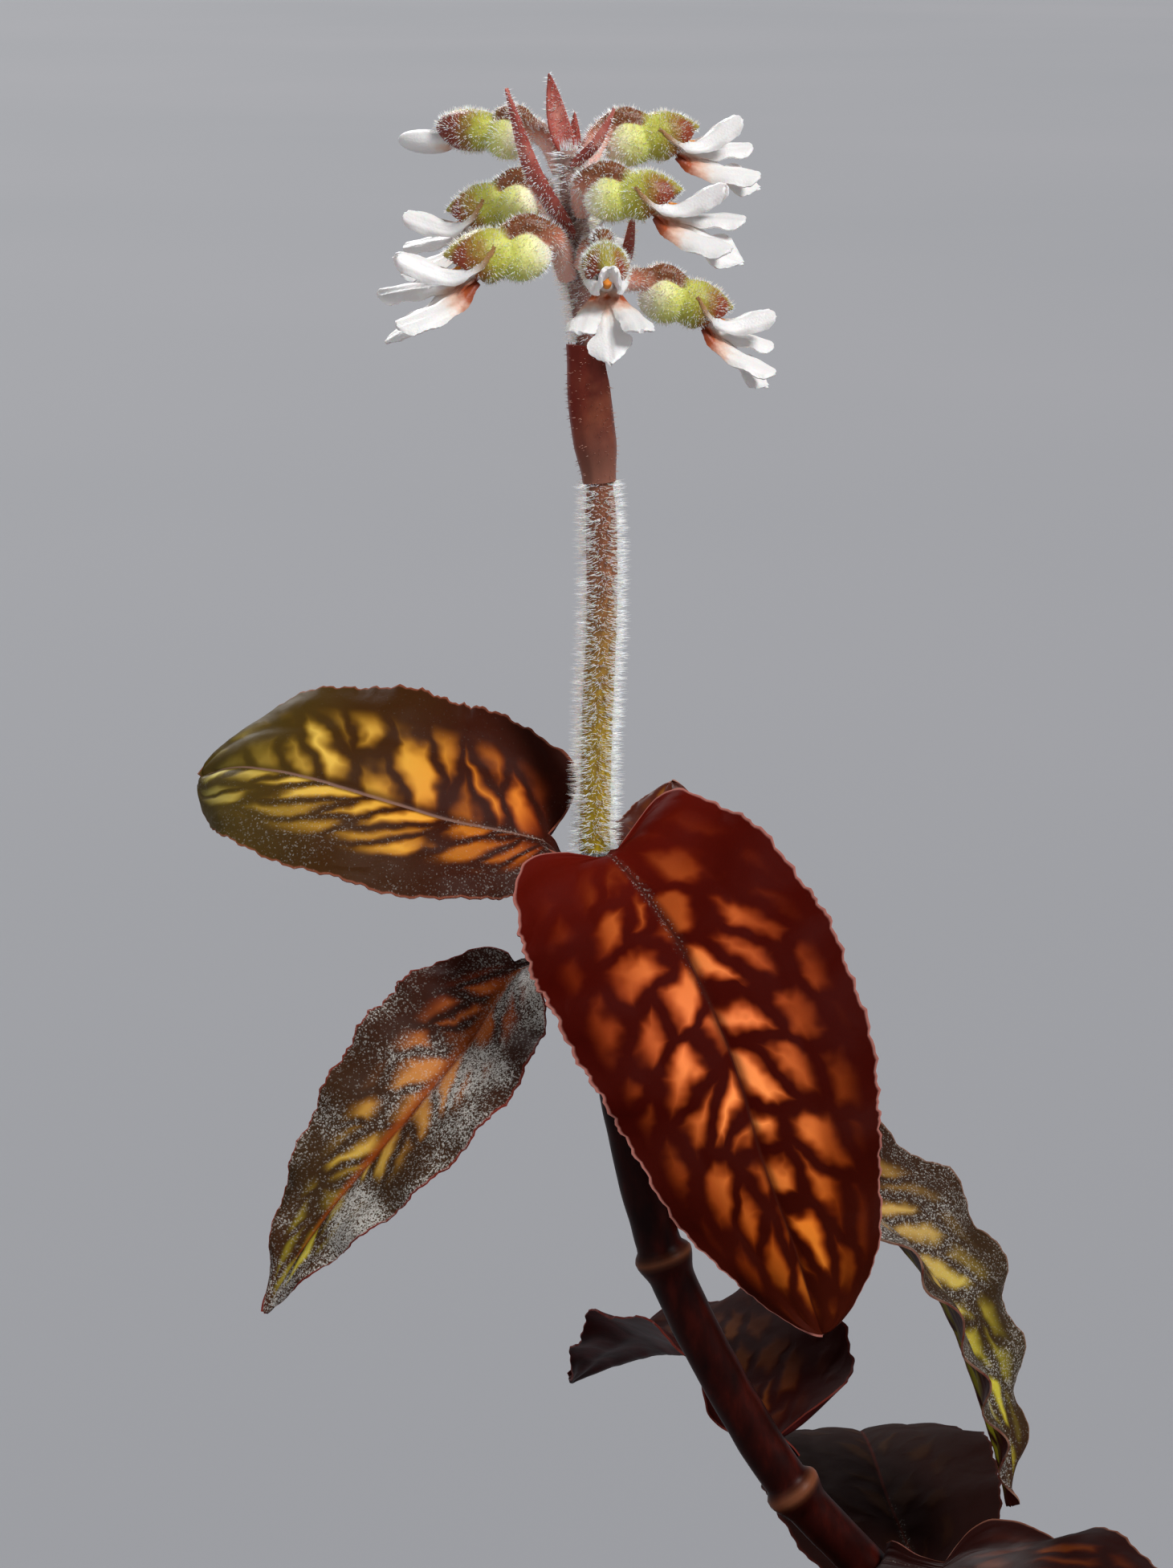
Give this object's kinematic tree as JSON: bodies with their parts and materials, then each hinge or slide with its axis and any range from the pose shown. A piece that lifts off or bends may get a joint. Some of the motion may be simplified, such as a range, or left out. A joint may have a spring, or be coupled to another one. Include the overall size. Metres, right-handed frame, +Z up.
{
  "type": "potted jewel orchid",
  "caption": "Small potted orchid with a creeping stem, broad patterned leaves and a hairy stalk that carries a head of small white flowers.",
  "frame": {"origin": "centre of the pot's underside", "axes": "+Z up, +X to the viewer's right, +Y away from the viewer"},
  "size_m": [0.1137, 0.0904, 0.2353],
  "materials": {
    "pot": "satin",
    "soil": "matte",
    "stem": "satin",
    "stalk": "matte",
    "sheath": "matte",
    "leaf": "satin",
    "flower_body": "satin",
    "white_petal": "satin"
  },
  "bodies": {
    "root": {"pot": "pot", "soil": "soil", "stem": "stem", "flower_stalk": "stalk", "stalk_sheath": "sheath", "leaf_a": "leaf", "leaf_b": "leaf", "leaf_c": "leaf", "leaf_d": "leaf", "leaf_e": "leaf", "leaf_f": "leaf", "leaf_g": "leaf", "leaf_h": "leaf", "flower_1_body": "flower_body", "flower_1_petals": "white_petal", "flower_2_body": "flower_body", "flower_2_petals": "white_petal", "flower_3_body": "flower_body", "flower_3_petals": "white_petal", "flower_4_body": "flower_body", "flower_4_petals": "white_petal", "flower_5_body": "flower_body", "flower_5_petals": "white_petal", "flower_6_body": "flower_body", "flower_6_petals": "white_petal", "flower_7_body": "flower_body", "flower_7_petals": "white_petal", "flower_8_body": "flower_body", "flower_8_petals": "white_petal"}
  },
  "joints": []
}
